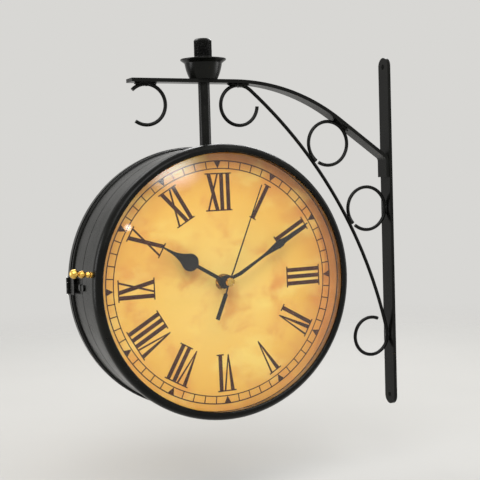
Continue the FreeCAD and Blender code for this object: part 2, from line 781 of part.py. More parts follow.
def meshing_gap(driver_teeth, driver_tooth, driven_teeth, line):
    """Bearing of a tooth of the driven wheel that leaves a gap where the driver's teeth come."""
    step = 360 / driver_teeth
    ahead = (driver_tooth - line) % step
    return line + 180 - ahead * driver_teeth / driven_teeth + 180 / driven_teeth


def movement_shell():
    half = "case_side / 2"
    outside = block("case_block", ("-(%s)" % half, CASE_FRONT, "-(%s)" % half),
                    ("case_side", "case_depth", "case_side"))
    rounded = doc.addObject("Part::Fillet", "case_rounded")
    rounded.Base = outside
    doc.recompute()
    upright = [i + 1 for i, edge in enumerate(outside.Shape.Edges)
               if abs(edge.tangentAt(0).y) > 0.9]
    rounded.Edges = [(i, 3, 3) for i in upright]
    hollow = block("case_hollow", ("-(%s) + case_wall" % half, INNER_FRONT, "-(%s) + case_wall" % half),
                   ("case_side - 2 * case_wall", "case_depth", "case_side - 2 * case_wall"))
    bush = rod("case_bush", "bush", "bush_length + 1", y=CASE_FRONT + " + 1")
    bush_bore = rod("case_bush_bore", "hour_pipe + running", "bush_length + 10", y=INNER_FRONT + " + 1")
    both_faces("movement_case", less("case_bored", fused("case_bushed", less(
        "case_shell", rounded, hollow), bush), bush_bore))

    lid = block("cover_lid", ("-(%s)" % half, CASE_BACK, "-(%s)" % half),
                ("case_side", "cover_thick", "case_side"))
    set_x, set_z = set_place()
    lid_bore = rod("cover_bore", "arbor * 2 + running", "cover_thick + 2", set_x,
                   CASE_BACK + " + cover_thick + 1", set_z)
    both_faces("movement_cover", less("cover_bored", lid, lid_bore))

    nut_y = DIAL + " - dial_washer_thick"
    washer = rod("dial_washer_disc", "dial_washer", "dial_washer_thick", y=DIAL)
    washer_bore = rod("dial_washer_bore", "bush", "dial_washer_thick + 2", y=DIAL + " + 1")
    shared("dial_washers", less("dial_washer_bored", washer, washer_bore))
    nut = hexagon("dial_nut_blank", "dial_nut_across", "dial_nut_height", y=nut_y)
    nut_bore = rod("dial_nut_bore", "bush", "dial_nut_height + 2", y=nut_y + " + 1")
    shared("dial_nuts", less("dial_nut_bored", nut, nut_bore))


def cell_and_motor():
    middle = "(%s + (case_depth - case_wall) / 2)" % INNER_FRONT
    body = rod("cell_body", "cell_radius", "cell_length", "-cell_length / 2", middle, "-cell_drop", "X")
    tip = rod("cell_tip", "2.6", "1", "cell_length / 2", middle, "-cell_drop", "X")
    shared("batteries", fused("cell", body, tip))
    springs = [block("contact_%d" % i, (x, middle + " - 4", "-cell_drop - 4"), ("0.4", "8", "8"))
               for i, x in enumerate(("-cell_length / 2 - 0.5", "cell_length / 2 + 1.1"))]
    shared("battery_contacts", group("contact_pair", *springs))
    coil = rod("motor_coil", "2.4", "16", "-6", middle, "23", "X")
    stator = block("motor_stator", ("20.6", middle + " - 3", "-8"), ("4", "6", "24"))
    board = block("motor_board", ("-25.6", middle + " + 3", "-6"), ("6", "1", "24"))
    shared("step_motors", group("motor_set", coil, stator, board))


def train_place():
    return bearing_place("train_module * %d" % ((TOOTH_COUNTS["second"] + TOOTH_COUNTS["third"]) / 2),
                         "train_bearing")


def motion_place():
    return bearing_place("motion_module * %d" % ((TOOTH_COUNTS["cannon"] + TOOTH_COUNTS["motion"]) / 2),
                         "motion_bearing")


def set_place():
    x, z = motion_place()
    return bearing_place("motion_module * %d" % ((TOOTH_COUNTS["set"] + TOOTH_COUNTS["motion"]) / 2),
                         "set_bearing", x, z)


def wheels():
    to_third, to_motion, to_set = values("train_bearing", "motion_bearing", "set_bearing")
    third_x, third_z = train_place()
    motion_x, motion_z = motion_place()
    set_x, set_z = set_place()
    reach_back = "%s - 0.1" % CASE_BACK

    def shaft(name, radius, start, end, x="0", z="0"):
        return rod(name, radius, "(%s) - (%s)" % (start, end), x, start, z)

    def wheel(name, kind, module, number, tooth_at, x="0", z="0"):
        return toothed(name, TOOTH_COUNTS[kind], module, x, layer(number), z, tooth_at)

    def gap_to(line, teeth):
        return line + 180 / teeth

    pinion = wheel("second_pinion", "second", "train_module", 3, to_third)
    drive = wheel("second_drive", "drive", "0.3", 4, 0)
    arbor = shaft("second_shaft", "second_arbor", reach_back, DIAL + " - second_out")
    both_faces("seconds_wheel", fused("seconds_wheel_set", pinion, drive, arbor))

    third = wheel("third_rim", "third", "train_module", 3, gap_to(to_third + 180, TOOTH_COUNTS["third"]),
                  third_x, third_z)
    third_pinion = wheel("third_leaves", "third_pinion", "centre_module", 2, to_third + 180, third_x,
                         third_z)
    third_shaft = shaft("third_shaft", "arbor", reach_back, INNER_FRONT + " + 0.1", third_x, third_z)
    both_faces("third_wheel", fused("third_wheel_set", third, third_pinion, third_shaft))

    centre = wheel("centre_rim", "centre", "centre_module", 2, gap_to(to_third, TOOTH_COUNTS["centre"]))
    cannon = wheel("centre_leaves", "cannon", "motion_module", 1, to_motion)
    pipe = shaft("minute_pipe_shaft", "minute_pipe", layer(2) + " + wheel_width",
                 DIAL + " - minute_out - hand_thick")
    pipe_bore = shaft("minute_pipe_bore", "second_arbor + running", layer(3), DIAL + " - second_out")
    both_faces("centre_wheel", less("centre_wheel_bored",
                                    fused("centre_wheel_set", centre, cannon, pipe), pipe_bore))

    motion_tooth = gap_to(to_motion + 180, TOOTH_COUNTS["motion"])
    motion = wheel("motion_rim", "motion", "motion_module", 1, motion_tooth, motion_x, motion_z)
    leaves = wheel("motion_leaves", "motion_pinion", "motion_module * 24 / 25", 0, to_motion + 180,
                   motion_x, motion_z)
    motion_shaft = shaft("motion_shaft", "arbor", layer(1) + " + wheel_width", INNER_FRONT + " + 0.1",
                         motion_x, motion_z)
    both_faces("motion_wheel", fused("motion_wheel_set", motion, leaves, motion_shaft))

    hour = wheel("hour_rim", "hour", "motion_module * 24 / 25", 0, gap_to(to_motion, TOOTH_COUNTS["hour"]))
    hour_pipe = shaft("hour_pipe_shaft", "hour_pipe", layer(0) + " + wheel_width",
                      DIAL + " - hour_out - hand_thick")
    hour_bore = shaft("hour_pipe_bore", "minute_pipe + running", layer(2), DIAL + " - minute_out")
    both_faces("hour_wheel", less("hour_wheel_bored", fused("hour_wheel_set", hour, hour_pipe),
                                  hour_bore))

    set_tooth = meshing_gap(TOOTH_COUNTS["motion"], motion_tooth, TOOTH_COUNTS["set"], to_set)
    set_leaves = wheel("set_leaves", "set", "motion_module", 1, set_tooth, set_x, set_z)
    outside = "(%s + cover_thick + 0.3)" % CASE_BACK
    set_shaft = shaft("set_shaft", "arbor * 2", outside + " + 1", INNER_FRONT + " + 0.1", set_x, set_z)
    knob = shaft("set_knob_disc", "set_knob", outside + " + set_knob_height", outside, set_x, set_z)
    both_faces("set_knob", fused("set_knob_set", set_leaves, set_shaft, knob))


# ---- hands ----

def mirrored(right):
    """A closed outline from its right half, listed from the foot up; arcs keep their middles."""
    left = []
    for i in range(len(right) - 1, -1, -1):
        corner = ["-(%s)" % right[i][0], right[i][1]]
        if i > 0 and len(right[i - 1]) > 2:
            corner += ["-(%s)" % right[i - 1][2], right[i - 1][3]]
        left.append(tuple(corner))
    return right + left


def hand(name, path, out, hub, fit, angle, lean, *extras):
    """Hand with a round hub, pressed on its pipe at a distance in front of the dial."""
    back = "%s - %s" % (DIAL, out)
    blade = cut_sheet(name + "_blade", mirrored(path), back, "hand_thick", lean)
    disc = rod(name + "_hub", hub, "hand_thick", y=back)
    whole = fused(name + "_whole", blade, disc, *extras)
    if fit:
        whole = less(name + "_bored", whole, rod(name + "_bore", fit, "hand_thick + 4", y=back + " + 2"))
    both_faces(name, whole, value(angle))


def hands():
    ball = "hour_ball"
    collet = rod("hour_collet", "hour_hub - 1.4", "2", y=DIAL + " - hour_out + 1.9")
    hand("hour_hand", [
        ("hour_stem + 0.15", "0"),
        ("hour_stem", "hour_ball_at - sqrt(hour_ball^2 - hour_stem^2)", ball, "hour_ball_at"),
        (ball + " * 0.8", "hour_ball_at + hour_ball * 0.6", "2.9", "hour_ball_at + 9.6"),
        ("1.2", "hour_ball_at + 17"),
        ("0.45", "hour_length")],
        "hour_out", "hour_hub", "hour_pipe", "hour_angle", "0", collet)
    hand("minute_hand", [
        ("minute_foot", "0"),
        ("1.1", "minute_leaf_at - 23.5", "1.2", "minute_leaf_at - 18"),
        ("1.7", "minute_leaf_at - 13"),
        ("minute_leaf", "minute_leaf_at"),
        ("minute_leaf - 0.9", "minute_leaf_at + 2", "1.85", "minute_leaf_at + 6"),
        ("1.5", "minute_leaf_at + 12.5"),
        ("0.45", "minute_length")],
        "minute_out", "minute_hub", "minute_pipe", "minute_angle", "minute_lean")
    cap = rod("second_cap", "cap_radius", "cap_out - second_out", y=DIAL + " - second_out")
    hand("second_hand", [
        ("second_weight", "-second_tail"),
        ("second_weight", "-second_tail + 21"),
        ("second_half", "-second_tail + 22"),
        ("second_half * 0.55", "second_length")],
        "second_out", "cap_radius", None, "second_angle", "second_lean", cap)


# ---- the whole clock ----

wall_bar()
top_arm()
bracket_scrolls()
stem()
drum()
doors()
movement_shell()
cell_and_motor()
wheels()
hands()
doc.recompute()

for thing in doc.Objects:
    if any(word in thing.State for word in ("Invalid", "Error")):
        raise RuntimeError("%s: %s" % (thing.Label, thing.getStatusString()))
os.makedirs("parts", exist_ok=True)
for label, piece in nodes.items():
    if piece.Shape.isNull() or not piece.Shape.isValid():
        raise RuntimeError("%s has no valid shape" % label)
    piece.Shape.exportStep("parts/%s.step" % label)
print(len(nodes), "pieces")
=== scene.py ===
"""Dresses the double sided station clock: enamel, brass, aged printed dials, glass, weld beads
and a knurled clamp nut, all fitted to the solids of the frame.

Lengths are in metres, most of them written as millimetres times MM.
"""

import math

import bmesh
import bpy
from mathutils import Matrix, Vector, noise

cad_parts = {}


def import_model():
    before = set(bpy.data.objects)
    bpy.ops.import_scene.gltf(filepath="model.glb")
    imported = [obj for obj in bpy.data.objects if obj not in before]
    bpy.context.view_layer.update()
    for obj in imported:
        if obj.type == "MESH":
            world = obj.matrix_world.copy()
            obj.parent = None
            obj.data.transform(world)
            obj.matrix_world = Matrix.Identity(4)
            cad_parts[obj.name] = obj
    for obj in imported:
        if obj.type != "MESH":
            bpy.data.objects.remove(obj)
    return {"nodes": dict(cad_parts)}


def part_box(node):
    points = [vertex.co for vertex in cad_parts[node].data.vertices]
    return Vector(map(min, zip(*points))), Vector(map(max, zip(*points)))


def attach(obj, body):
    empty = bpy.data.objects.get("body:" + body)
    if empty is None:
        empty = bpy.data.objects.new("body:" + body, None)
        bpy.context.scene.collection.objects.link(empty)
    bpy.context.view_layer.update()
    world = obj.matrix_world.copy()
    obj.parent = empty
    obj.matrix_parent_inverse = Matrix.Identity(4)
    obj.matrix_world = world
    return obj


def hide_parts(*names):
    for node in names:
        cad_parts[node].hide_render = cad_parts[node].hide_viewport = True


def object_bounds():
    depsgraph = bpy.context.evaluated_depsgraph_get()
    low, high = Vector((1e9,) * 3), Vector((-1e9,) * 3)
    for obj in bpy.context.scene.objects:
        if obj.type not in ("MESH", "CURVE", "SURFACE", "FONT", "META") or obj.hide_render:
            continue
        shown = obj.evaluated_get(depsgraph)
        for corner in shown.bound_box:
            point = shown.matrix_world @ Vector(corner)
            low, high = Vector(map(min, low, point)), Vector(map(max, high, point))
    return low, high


MM = 0.001
SIDES = {"front": -1, "rear": 1}        # which way along Y each dial looks

# dial print, measured from the dial's centre
NUMERAL_INNER = 57.8 * MM
NUMERAL_OUTER = 87.0 * MM
STROKE = 3.3 * MM
HAIRLINE = 1.6 * MM
X_WIDTH = 10.2 * MM
V_WIDTH = 9.0 * MM
I_PITCH = 5.5 * MM
LETTER_GAP = 0.8 * MM
SERIF_THICK = 1.05 * MM
SERIF_REACH = 1.45 * MM
TRACK_INNER = 91.0 * MM
TRACK_OUTER = 97.1 * MM
TRACK_INNER_LINE = 0.8 * MM
TRACK_OUTER_LINE = 0.9 * MM
TICK_LINE = 0.85 * MM
HOUR_MARK_HALF = 3.0 * MM
PRINT_TURN = math.radians(-1)
PRINT_OFF_CENTRE = (-0.5 * MM, -0.6 * MM)
PRINT_SINK = 0.03 * MM
PRINT_RISE = 0.05 * MM
NUMERALS = ("XII", "I", "II", "III", "IV", "V", "VI", "VII", "VIII", "IX", "X", "XI")

# dial paper: its colours outwards from the middle, placed as shares of the ageing radius, which
# lies just past the paper's edge; painted shade also moves along these colours towards the right
# and top
AGEING_RADIUS = 104 * MM
PAPER_AGEING = (
    (0.0, (250, 212, 116)),
    (0.42, (248, 203, 100)),
    (0.72, (243, 188, 82)),
    (0.9, (234, 168, 72)),
    (1.02, (222, 148, 64)),
    (1.14, (202, 126, 54)),
)

# hub cap, with heights measured outwards from the dial's paper
CAP_FOOT = 12.95 * MM
CAP_CROWN = 16.15 * MM
CAP_RADIUS = 3.4 * MM
CAP_CHAMFER = 0.2 * MM
CAP_DOME = 0.5 * MM                     # height of the dome above the straight side
CAP_SHOULDER = ((0.15 * MM, 0.3 * MM), (0.5 * MM, 0.42 * MM))  # dome points, inwards and upwards
CAP_SHARP = math.radians(40)

# clamp nut and the diamond knurl on its head
NUT_SHANK_HEIGHT = 15 * MM
NUT_SHANK_RADIUS = 4.6 * MM
NUT_CHAMFER = 1.6 * MM
NUT_FOOT_CHAMFER = 0.6 * MM
NUT_DISH = 0.1 * MM                     # hollow in the middle of the head
NUT_SHARP = math.radians(32)
KNURL_DEPTH = 0.55 * MM
KNURL_COUNT = 30                        # grooves of each hand round the nut
KNURL_PITCH = 1.5 * MM                  # height between neighbouring grooves of one hand
KNURL_FLANK = 2.6                       # steepness of a groove's sides
KNURL_ABOVE_NECK = 1.2 * MM
KNURL_BELOW_CHAMFER = 0.5 * MM
KNURL_FADE = 0.6 * MM                   # height over which the grooves die away
KNURL_ROWS = 74
KNURL_STEPS = 480                       # corners round the nut

# bracket, where its welds lie
ROD_RADIUS = 1.5 * MM
ARM_CENTRE_X = 25 * MM                  # bend centre of the arm from the stem axis
ARM_CENTRE_DROP = 170 * MM              # and below the arm's top
ARM_THICK = 3 * MM
CURL_DROP = 59 * MM
CURL_FROM_STEM = 31 * MM
SCROLL_TO_WELD = 17.7 * MM
BOW_CENTRE = (-210.91 * MM, -141.77 * MM)  # centre of the long brace from the dial's centre

# weld pads along the arm's underside, larger than the weld so that their black also stands in for
# the shade under the arm (painted shade)
PAD_LENGTH = 19 * MM
PAD_WIDTH = 8.6 * MM
PAD_HEIGHT = 4.6 * MM
PAD_STAND = 0.4 * MM                    # pad's centre below the arm, or outside the ring
# weld beads, one on each side of a rod
BEAD_AT_RING = 8 * MM
BEAD_AT_BAR = 10 * MM
BEAD_WIDTH = 2.4 * MM
BEAD_HEIGHT = 2.8 * MM
BEAD_IN_RING = 0.3 * MM                 # bead's centre inside the ring's outer edge
BEAD_IN_BAR = 0.6 * MM                  # bead's centre short of the bar's face
BEAD_SPREAD = 0.9                       # distance from the rod's axis, as a share of its radius
BEAD_RIPPLE = 1.5 * MM

# stage
CAMERA_SPOT = (-0.5207, -0.8252, 0.0433)
CAMERA_AZIMUTH = math.radians(-24.45)
CAMERA_DOWN = math.radians(2.78)
CAMERA_ROLL = math.radians(-1.6)
CAMERA_LENS = 81.84
STAGE_MIDDLE = (-0.17, 0, 0)
FLOOR_DROP = 60 * MM
FLOOR_RADIUS = 1.6
BACKDROP = (216, 215, 212)
FILL_STRENGTH = 0.5
# name, place from the stage's middle, size and watts; each stands in front and, turned, behind
PAIRED_LAMPS = (
    ("key", (-0.73, -1.1, 1.0), (0.9, 0.9), 10.8),
    ("top", (0.1, -0.9, 1.25), (1.3, 0.8), 10.8),
    ("side", (1.3, -0.36, 0.1), (0.5, 0.9), 6.5),
)
# name, place, size and watts of the lamps that the front glass reflects
GLASS_LAMPS = (
    ("window", (0.0, -1.22, 0.57), (0.5, 0.3), 3.4),
    ("lamp", (-0.31, -1.31, 0.24), (0.06, 0.06), 0.16),
)


def srgb(red, green, blue):
    """A colour given as screen bytes, as linear light."""
    def linear(byte):
        level = byte / 255
        return level / 12.92 if level <= 0.04045 else ((level + 0.055) / 1.055) ** 2.4
    return (linear(red), linear(green), linear(blue), 1.0)


# ---- node materials ----

class Finish:
    """A material under construction: its tree, its shader and short ways to add nodes."""

    def __init__(self, name):
        self.material = bpy.data.materials.new(name)
        self.material.use_nodes = True
        self.tree = self.material.node_tree
        self.shader = self.tree.nodes["Principled BSDF"]
        self.output = self.tree.nodes["Material Output"]
        self.place = self.add("ShaderNodeTexCoord").outputs["Object"]

    def add(self, kind, **settings):
        node = self.tree.nodes.new(kind)
        for name, setting in settings.items():
            setattr(node, name, setting)
        return node

    def join(self, source, target):
        self.tree.links.new(source, target)

    def feed(self, socket, source):
        """Links a socket to another, or sets it to a plain value."""
        if isinstance(source, bpy.types.NodeSocket):
            self.join(source, socket)
        else:
            socket.default_value = source

    def set(self, **values):
        for name, source in values.items():
            self.feed(self.shader.inputs[name.replace("_", " ")], source)

    def math(self, operation, first, second=0.0, clamp=False):
        node = self.add("ShaderNodeMath", operation=operation, use_clamp=clamp)
        self.feed(node.inputs[0], first)
        self.feed(node.inputs[1], second)
        return node.outputs[0]

    def noise(self, scale, detail=3.0, roughness=0.5, place=None, distortion=0.0):
        node = self.add("ShaderNodeTexNoise")
        self.feed(node.inputs["Vector"], place or self.place)
        node.inputs["Scale"].default_value = scale
        node.inputs["Detail"].default_value = detail
        node.inputs["Roughness"].default_value = roughness
        node.inputs["Distortion"].default_value = distortion
        return node.outputs["Fac"]

    def stretched(self, x=1.0, y=1.0, z=1.0):
        """Object coordinates squeezed along some axes, for brushed and drawn textures."""
        node = self.add("ShaderNodeMapping")
        self.feed(node.inputs["Vector"], self.place)
        node.inputs["Scale"].default_value = (x, y, z)
        return node.outputs["Vector"]

    def spread(self, source, low, high, start=0.0, end=1.0):
        """Maps the range low..high of a value to start..end, clamped."""
        node = self.add("ShaderNodeMapRange", interpolation_type="SMOOTHSTEP")
        self.feed(node.inputs["Value"], source)
        limits = {"From Min": low, "From Max": high, "To Min": start, "To Max": end}
        for name, number in limits.items():
            node.inputs[name].default_value = number
        return node.outputs["Result"]

    def blend(self, factor, first, second, kind="MIX"):
        node = self.add("ShaderNodeMix", data_type="RGBA", blend_type=kind)
        self.feed(node.inputs["Factor"], factor)
        self.feed(node.inputs["A"], first)
        self.feed(node.inputs["B"], second)
        return node.outputs["Result"]

    def ramp(self, source, *stops):
        node = self.add("ShaderNodeValToRGB")
        elements = node.color_ramp.elements
        while len(elements) < len(stops):
            elements.new(0.5)
        for element, (position, colour) in zip(elements, stops):
            element.position = position
            element.color = colour
        self.feed(node.inputs["Fac"], source)
        return node.outputs["Color"]

    def bump(self, height, depth, strength=1.0):
        node = self.add("ShaderNodeBump")
        node.inputs["Strength"].default_value = strength
        node.inputs["Distance"].default_value = depth
        self.feed(node.inputs["Height"], height)
        self.set(Normal=node.outputs["Normal"])


def enamel(name, dark, worn, rough, orange_peel):
    """Black enamel over iron: dust tone, uneven gloss and a slight orange peel."""
    finish = Finish(name)
    cloudy = finish.noise(38, detail=5, roughness=0.6)
    fine = finish.noise(900, detail=2)
    rubbed = finish.spread(finish.noise(140, detail=6, roughness=0.7), 0.56, 0.78)
    colour = finish.blend(finish.spread(cloudy, 0.35, 0.75), dark, worn)
    colour = finish.blend(finish.math("MULTIPLY", rubbed, 0.35), colour, srgb(30, 30, 27))
    gloss = finish.math("ADD", finish.spread(cloudy, 0.3, 0.7, rough * 0.8, rough * 1.25),
                        finish.math("MULTIPLY", rubbed, 0.12))
    finish.set(Base_Color=colour, Roughness=gloss, Specular_IOR_Level=0.14)
    skin = finish.math("ADD", finish.noise(260, detail=2), finish.math("MULTIPLY", fine, 0.25))
    finish.bump(skin, orange_peel)
    return finish.material


def hand_black():
    """Black finish of the hands, with a fine grain."""
    finish = Finish("hand_black")
    grain = finish.noise(1400, detail=3)
    worn = finish.spread(finish.noise(90), 0.35, 0.7)
    colour = finish.blend(worn, srgb(8, 7, 6), srgb(18, 16, 14))
    finish.set(Base_Color=colour, Roughness=finish.spread(grain, 0.3, 0.7, 0.3, 0.48),
               Specular_IOR_Level=0.15)
    finish.bump(grain, 0.02 * MM)
    return finish.material


def brass(name, bright, dull, rough):
    """Turned brass with tarnish clouds and fine tool lines."""
    finish = Finish(name)
    tarnish = finish.spread(finish.noise(170, detail=6, roughness=0.65), 0.42, 0.72)
    lines = finish.noise(700, detail=2, place=finish.stretched(3, 0.4, 0.4))
    turned = finish.spread(lines, 0.3, 0.7, rough * 0.7, rough * 1.3)
    finish.set(Base_Color=finish.blend(tarnish, bright, dull), Metallic=1.0,
               Roughness=finish.math("ADD", turned, finish.math("MULTIPLY", tarnish, 0.14)))
    finish.bump(lines, 0.01 * MM)
    return finish.material


def sheet_steel(name, light, dull, rough):
    """Rolled or plated steel, with streaks along the sheet."""
    finish = Finish(name)
    streaks = finish.noise(220, detail=4, place=finish.stretched(0.15, 1, 3))
    stain = finish.spread(finish.noise(24, detail=6, roughness=0.62), 0.45, 0.75)
    finish.set(Base_Color=finish.blend(stain, light, dull), Metallic=1.0,
               Roughness=finish.spread(streaks, 0.25, 0.75, rough * 0.75, rough * 1.3))
    finish.bump(streaks, 0.02 * MM)
    return finish.material


def moulded(name, base, shade, rough, grain_scale=1800):
    """Moulded plastic or printed sleeve with a fine spark-eroded grain."""
    finish = Finish(name)
    grain = finish.noise(grain_scale, detail=2)
    finish.set(Base_Color=finish.blend(finish.noise(60, detail=4), base, shade),
               Roughness=finish.spread(grain, 0.3, 0.7, rough * 0.85, rough * 1.2),
               Specular_IOR_Level=0.45)
    finish.bump(grain, 0.03 * MM)
    return finish.material


def clear_glass():
    """Domed glass: clear, faintly wavy, and open to the light that falls on the dial."""
    finish = Finish("clock_glass")
    finish.set(Base_Color=(0.985, 0.99, 0.985, 1), Transmission_Weight=1.0, IOR=1.46,
               Specular_IOR_Level=0.2,
               Roughness=finish.spread(finish.noise(45, detail=5), 0.35, 0.75, 0.02, 0.06))
    finish.bump(finish.noise(22, detail=1), 0.05 * MM)
    clear = finish.add("ShaderNodeBsdfTransparent")
    path = finish.add("ShaderNodeLightPath")
    mix = finish.add("ShaderNodeMixShader")
    lit = finish.math("MAXIMUM", path.outputs["Is Shadow Ray"], path.outputs["Is Diffuse Ray"])
    finish.join(lit, mix.inputs["Fac"])
    finish.join(finish.shader.outputs["BSDF"], mix.inputs[1])
    finish.join(clear.outputs["BSDF"], mix.inputs[2])
    finish.join(mix.outputs["Shader"], finish.output.inputs["Surface"])
    return finish.material


def dial_paper(name, centre, facing):
    """Aged cream paper: yellow middle, browner edge, painted shade browning it towards the right
    and top, blotches, foxing specks and fibre.
    """
    finish = Finish(name)
    offset = finish.add("ShaderNodeVectorMath", operation="SUBTRACT")
    finish.join(finish.place, offset.inputs[0])
    offset.inputs[1].default_value = (centre.x, 0, centre.z)
    split = finish.add("ShaderNodeSeparateXYZ")
    finish.join(offset.outputs["Vector"], split.inputs["Vector"])
    across = finish.math("MULTIPLY", split.outputs["X"], float(-facing))
    up = split.outputs["Z"]
    flat = finish.add("ShaderNodeCombineXYZ")
    finish.join(across, flat.inputs["X"])
    finish.join(up, flat.inputs["Y"])
    place = flat.outputs["Vector"]
    length = finish.add("ShaderNodeVectorMath", operation="LENGTH")
    finish.join(place, length.inputs[0])
    cloud = finish.noise(17, detail=5, roughness=0.55, place=place, distortion=0.6)
    radius = finish.math("DIVIDE", length.outputs["Value"], AGEING_RADIUS)
    sway = finish.math("MULTIPLY", finish.math("SUBTRACT", cloud, 0.5), 0.3)
    wandering = finish.math("ADD", radius, sway)
    # painted shade: the paper turns browner towards the right and the top of the dial
    shade_to_right = finish.math("MULTIPLY", across, 0.7)
    painted_shade_lean = finish.math("ADD", shade_to_right, finish.math("MULTIPLY", up, 0.7))
    age_and_shade = finish.math("ADD", wandering, painted_shade_lean)
    colour = finish.ramp(age_and_shade, *((share, srgb(*shade)) for share, shade in PAPER_AGEING))
    blotch = finish.noise(31, detail=5, roughness=0.58, place=place, distortion=0.4)
    colour = finish.blend(finish.spread(blotch, 0.45, 0.72, 0, 0.85), colour, srgb(228, 148, 68))
    glow = finish.noise(21, detail=3, place=finish.stretched(1.0, 1.0, 1.6))
    colour = finish.blend(finish.spread(glow, 0.5, 0.7, 0, 0.7), colour, srgb(252, 222, 118))
    specks = finish.add("ShaderNodeTexVoronoi", feature="F1")
    finish.join(place, specks.inputs["Vector"])
    specks.inputs["Scale"].default_value = 230
    near = finish.spread(specks.outputs["Distance"], 0.1, 0.2, 1, 0)
    chosen = finish.spread(specks.outputs["Color"], 0.86, 0.93)
    patchy = finish.spread(finish.noise(15, detail=2, place=place), 0.42, 0.6)
    foxing = finish.math("MULTIPLY", finish.math("MULTIPLY", near, chosen), patchy)
    colour = finish.blend(finish.math("MULTIPLY", foxing, 0.5), colour, srgb(150, 92, 40))
    fibre = finish.noise(700, detail=4, roughness=0.7, place=place)
    colour = finish.blend(finish.spread(fibre, 0.35, 0.7, 0, 0.14), colour, srgb(214, 160, 92))
    finish.set(Base_Color=colour, Roughness=finish.spread(blotch, 0.3, 0.7, 0.42, 0.6),
               Specular_IOR_Level=0.12)
    finish.bump(fibre, 0.02 * MM)
    return finish.material


def dial_ink():
    """Brown-black printing ink, thin in places."""
    finish = Finish("dial_ink")
    thin = finish.spread(finish.noise(120, detail=6, roughness=0.7), 0.45, 0.75)
    colour = finish.blend(thin, srgb(56, 20, 4), srgb(96, 48, 18))
    finish.set(Base_Color=colour, Roughness=finish.spread(thin, 0, 1, 0.4, 0.55),
               Specular_IOR_Level=0.1)
    finish.bump(thin, 0.01 * MM)
    return finish.material


def finishes():
    """One material for each of the record's slots, apart from the two dials' papers."""
    return {
        "black_gloss_iron": enamel("black_gloss_iron", srgb(9, 9, 8), srgb(17, 18, 15), 0.24,
                                   0.03 * MM),
        "hand_black": hand_black(),
        "brass": brass("brass", srgb(232, 190, 96), srgb(168, 122, 50), 0.2),
        "clock_glass": clear_glass(),
        "bare_sheet": sheet_steel("bare_sheet", srgb(190, 190, 186), srgb(150, 148, 142), 0.42),
        "bright_steel": sheet_steel("bright_steel", srgb(205, 205, 202), srgb(160, 160, 156), 0.28),
        "movement_plastic": moulded("movement_plastic", srgb(34, 34, 35), srgb(48, 48, 48), 0.5),
        "cell_sleeve": moulded("cell_sleeve", srgb(120, 120, 128), srgb(98, 98, 108), 0.28, 900),
        "motor_copper": brass("motor_copper", srgb(214, 140, 92), srgb(150, 88, 54), 0.34),
    }


# ---- meshes ----

def piece(name, mesh, material, body):
    """A new visible object that moves with a body."""
    thing = bpy.data.objects.new(name, mesh)
    bpy.context.scene.collection.objects.link(thing)
    mesh.materials.append(material)
    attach(thing, body)
    return thing


def mesh_from(bm, name):
    """The mesh of a bmesh, with its faces turned outwards."""
    bmesh.ops.recalc_face_normals(bm, faces=bm.faces)
    mesh = bpy.data.meshes.new(name)
    bm.to_mesh(mesh)
    bm.free()
    return mesh


def prism(bm, outline, low, high, place):
    """A closed plate over an outline drawn anticlockwise, from one height to another."""
    bottom = [bm.verts.new(place(x, y, low)) for x, y in outline]
    top = [bm.verts.new(place(x, y, high)) for x, y in outline]
    bm.faces.new(top)
    bm.faces.new(bottom[::-1])
    for i in range(len(outline)):
        j = (i + 1) % len(outline)
        bm.faces.new((bottom[i], bottom[j], top[j], top[i]))


def ring_band(bm, radius, line, low, high, place, steps=360):
    """A closed flat ring of one line's width."""
    loops = [[bm.verts.new(place(edge * math.sin(2 * math.pi * i / steps),
                                 edge * math.cos(2 * math.pi * i / steps), height))
              for i in range(steps)]
             for edge, height in ((radius - line / 2, low), (radius + line / 2, low),
                                  (radius + line / 2, high), (radius - line / 2, high))]
    for loop, following in zip(loops, loops[1:] + loops[:1]):
        for i in range(steps):
            j = (i + 1) % steps
            bm.faces.new((loop[i], loop[j], following[j], following[i]))


def letter_strokes(letter, left, right):
    """Outlines of one letter between its left and right sides, and whether its foot has a serif."""
    inner, outer = NUMERAL_INNER, NUMERAL_OUTER
    if letter == "I":
        return [[(left, inner), (right, inner), (right, outer), (left, outer)]], True
    if letter == "V":
        tip = (left + right) / 2
        point = HAIRLINE * 0.3
        foot = [(tip - point, inner), (tip + point, inner)]
        return [[(left, outer), *foot, (left + STROKE, outer)],
                [(right - HAIRLINE, outer), *foot, (right, outer)]], False
    falling = [(left, outer), (right - STROKE, inner), (right, inner), (left + STROKE, outer)]
    rising = [(right - HAIRLINE, outer), (left, inner), (left + HAIRLINE, inner), (right, outer)]
    return [falling, rising], True


def numeral_strokes(numeral):
    """Outlines of a numeral centred on the 12 o'clock line, serifs included."""
    widths = {"I": STROKE, "V": V_WIDTH, "X": X_WIDTH}
    sides, reached = [], 0.0
    for i, letter in enumerate(numeral):
        if i:
            both_upright = letter == "I" and numeral[i - 1] == "I"
            reached += I_PITCH - STROKE if both_upright else LETTER_GAP
        sides.append((letter, reached, reached + widths[letter]))
        reached += widths[letter]
    outlines, feet = [], []
    for letter, left, right in sides:
        strokes, footed = letter_strokes(letter, left - reached / 2, right - reached / 2)
        outlines += strokes
        if footed:
            feet.append((left - reached / 2, right - reached / 2))
    serifs = [(-reached / 2, reached / 2, NUMERAL_OUTER)]
    if feet:
        serifs.append((feet[0][0], feet[-1][1], NUMERAL_INNER))
    for left, right, height in serifs:
        low, high = height - SERIF_THICK / 2, height + SERIF_THICK / 2
        outlines.append([(left - SERIF_REACH, low), (right + SERIF_REACH, low),
                         (right + SERIF_REACH, high), (left - SERIF_REACH, high)])
    return outlines


def turned_outline(outline, angle):
    """An outline turned clockwise about the dial's centre."""
    sine, cosine = math.sin(angle), math.cos(angle)
    return [(x * cosine + y * sine, y * cosine - x * sine) for x, y in outline]


def anticlockwise(outline):
    area = sum(a[0] * b[1] - b[0] * a[1] for a, b in zip(outline, outline[1:] + outline[:1]))
    return outline if area > 0 else outline[::-1]


